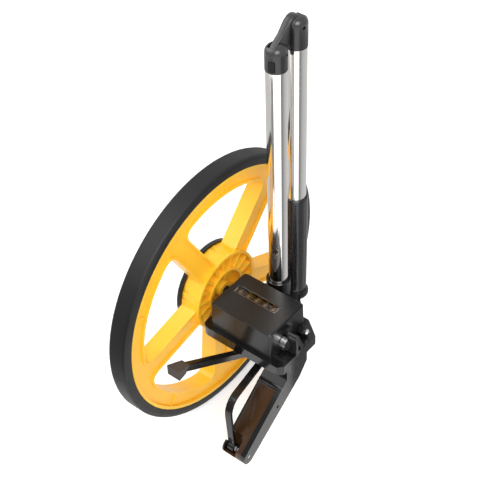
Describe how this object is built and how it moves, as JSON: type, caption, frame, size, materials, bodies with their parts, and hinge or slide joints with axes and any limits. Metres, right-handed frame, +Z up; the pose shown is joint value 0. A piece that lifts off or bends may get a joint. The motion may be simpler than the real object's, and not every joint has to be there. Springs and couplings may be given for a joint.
{
  "type": "folding measuring wheel",
  "caption": "Folding distance measuring wheel with mechanical drum counter, two-tube pole with elbow, stand leg and squeeze lever.",
  "frame": {"origin": "middle of the bounding box's footprint, level with the tyre's lowest point", "axes": "+X along the axle from the wheel to the counter, -Y the way the wheel is pushed, +Y towards the user, +Z up along the folded poles"},
  "size_m": [0.15, 0.3184, 0.4867],
  "materials": {
    "yellow_plastic": "satin",
    "black_plastic": "satin",
    "tyre_rubber": "matt",
    "grip_rubber": "matt",
    "polished_steel": "polished",
    "plain_steel": "plain",
    "chrome": "bright",
    "brass": "plain",
    "clear_plastic": "clear",
    "drum_plastic": "matt",
    "gear_plastic": "plain"
  },
  "bodies": {
    "frame": {"base_frame": "black_plastic", "counter_housing": "black_plastic", "window_lens": "clear_plastic", "counter_bracket": "plain_steel", "axle_bush_left": "brass", "axle_bush_right": "brass", "pole_socket": "black_plastic", "lower_tube": "polished_steel", "lower_knuckle": "black_plastic", "lower_elbow_pin": "plain_steel", "counter_screw_1": "plain_steel", "counter_screw_2": "plain_steel", "counter_screw_3": "plain_steel", "counter_screw_4": "plain_steel", "socket_screw_1": "plain_steel", "socket_screw_2": "plain_steel", "brake_lever_pin": "plain_steel", "brake_lever_spring": "plain_steel", "stand_pin": "plain_steel", "pinion_shaft": "plain_steel"},
    "wheel": {"wheel_moulding": "yellow_plastic", "tyre": "tyre_rubber", "hub_cap": "black_plastic", "hub_cap_screw_1": "plain_steel", "hub_cap_screw_2": "plain_steel", "hub_cap_screw_3": "plain_steel", "axle": "plain_steel", "axle_nut": "plain_steel", "axle_washer": "plain_steel", "axle_spacer": "black_plastic", "drive_pin": "plain_steel", "drive_gear": "gear_plastic"},
    "tenths_drum": {"digit_drum_1": "drum_plastic", "counter_gear": "gear_plastic", "counter_shaft": "plain_steel"},
    "units_drum": {"digit_drum_2": "drum_plastic"},
    "tens_drum": {"digit_drum_3": "drum_plastic"},
    "hundreds_drum": {"digit_drum_4": "drum_plastic"},
    "thousands_drum": {"digit_drum_5": "drum_plastic"},
    "carry_1": {"carry_pinion_1": "brass"},
    "carry_2": {"carry_pinion_2": "brass"},
    "carry_3": {"carry_pinion_3": "brass"},
    "carry_4": {"carry_pinion_4": "brass"},
    "reset": {"reset_shaft": "chrome", "reset_lever": "black_plastic"},
    "knob": {"thumb_knob": "black_plastic", "knob_stud": "chrome"},
    "stand": {"stand_leg": "black_plastic", "stand_foot": "grip_rubber"},
    "brake": {"brake_lever": "black_plastic"},
    "link": {"elbow_link": "black_plastic"},
    "upper_pole": {"upper_knuckle": "black_plastic", "upper_elbow_pin": "plain_steel", "upper_tube": "polished_steel", "grip_sleeve": "grip_rubber", "grip_pommel": "black_plastic"},
    "lock_button": {"elbow_lock_button": "black_plastic"}
  },
  "joints": [
    {"name": "wheel_spin", "type": "hinge", "parent": "frame", "child": "wheel", "pos_m": [-0.04035, 0, 0.15915], "axis": [1, 0, 0], "continuous": true},
    {"name": "tenths_drum_spin", "type": "hinge", "parent": "frame", "child": "tenths_drum", "pos_m": [0.00965, -0.0065, 0.17015], "axis": [1, 0, 0], "continuous": true},
    {"name": "units_drum_spin", "type": "hinge", "parent": "frame", "child": "units_drum", "pos_m": [0.00965, -0.0065, 0.17015], "axis": [1, 0, 0], "continuous": true},
    {"name": "tens_drum_spin", "type": "hinge", "parent": "frame", "child": "tens_drum", "pos_m": [0.00965, -0.0065, 0.17015], "axis": [1, 0, 0], "continuous": true},
    {"name": "hundreds_drum_spin", "type": "hinge", "parent": "frame", "child": "hundreds_drum", "pos_m": [0.00965, -0.0065, 0.17015], "axis": [1, 0, 0], "continuous": true},
    {"name": "thousands_drum_spin", "type": "hinge", "parent": "frame", "child": "thousands_drum", "pos_m": [0.00965, -0.0065, 0.17015], "axis": [1, 0, 0], "continuous": true},
    {"name": "carry_1_spin", "type": "hinge", "parent": "frame", "child": "carry_1", "pos_m": [0.00965, 0.0056, 0.17115], "axis": [1, 0, 0], "continuous": true},
    {"name": "carry_2_spin", "type": "hinge", "parent": "frame", "child": "carry_2", "pos_m": [0.00965, 0.0056, 0.17115], "axis": [1, 0, 0], "continuous": true},
    {"name": "carry_3_spin", "type": "hinge", "parent": "frame", "child": "carry_3", "pos_m": [0.00965, 0.0056, 0.17115], "axis": [1, 0, 0], "continuous": true},
    {"name": "carry_4_spin", "type": "hinge", "parent": "frame", "child": "carry_4", "pos_m": [0.00965, 0.0056, 0.17115], "axis": [1, 0, 0], "continuous": true},
    {"name": "reset_turn", "type": "hinge", "parent": "frame", "child": "reset", "pos_m": [0.05965, -0.019, 0.15575], "axis": [1, 0, 0], "range_deg": [0, 50], "stiffness_Nm_per_rad": 0.02},
    {"name": "knob_turn", "type": "hinge", "parent": "frame", "child": "knob", "pos_m": [0.05965, 0.008, 0.15275], "axis": [1, 0, 0], "continuous": true},
    {"name": "stand_swing", "type": "hinge", "parent": "frame", "child": "stand", "pos_m": [0.01165, -0.02, 0.11115], "axis": [1, 0, 0], "range_deg": [0, 81]},
    {"name": "brake_squeeze", "type": "hinge", "parent": "frame", "child": "brake", "pos_m": [0.04965, -0.102, 0.05815], "axis": [1, 0, 0], "range_deg": [-7, 0], "stiffness_Nm_per_rad": 0.3},
    {"name": "elbow_lower", "type": "hinge", "parent": "frame", "child": "link", "pos_m": [0.00495, 0.0406, 0.46315], "axis": [1, 0, 0], "range_deg": [0, 59.1]},
    {"name": "elbow_upper", "type": "hinge", "parent": "link", "child": "upper_pole", "pos_m": [0.00495, 0.0664, 0.47835], "axis": [1, 0, 0], "range_deg": [0, 120.9]},
    {"name": "lock_press", "type": "slide", "parent": "frame", "child": "lock_button", "axis": [0, 1, 0], "range_m": [0, 0.0022], "stiffness_N_per_m": 300}
  ],
  "couplings": [
    {"joint": "tenths_drum_spin", "follows": "wheel_spin", "ratio": -1},
    {"joint": "units_drum_spin", "follows": "wheel_spin", "ratio": -0.1},
    {"joint": "tens_drum_spin", "follows": "wheel_spin", "ratio": -0.01},
    {"joint": "hundreds_drum_spin", "follows": "wheel_spin", "ratio": -0.001},
    {"joint": "thousands_drum_spin", "follows": "wheel_spin", "ratio": -0.0001},
    {"joint": "carry_1_spin", "follows": "wheel_spin", "ratio": 0.25},
    {"joint": "carry_2_spin", "follows": "wheel_spin", "ratio": 0.025},
    {"joint": "carry_3_spin", "follows": "wheel_spin", "ratio": 0.0025},
    {"joint": "carry_4_spin", "follows": "wheel_spin", "ratio": 0.00025}
  ]
}
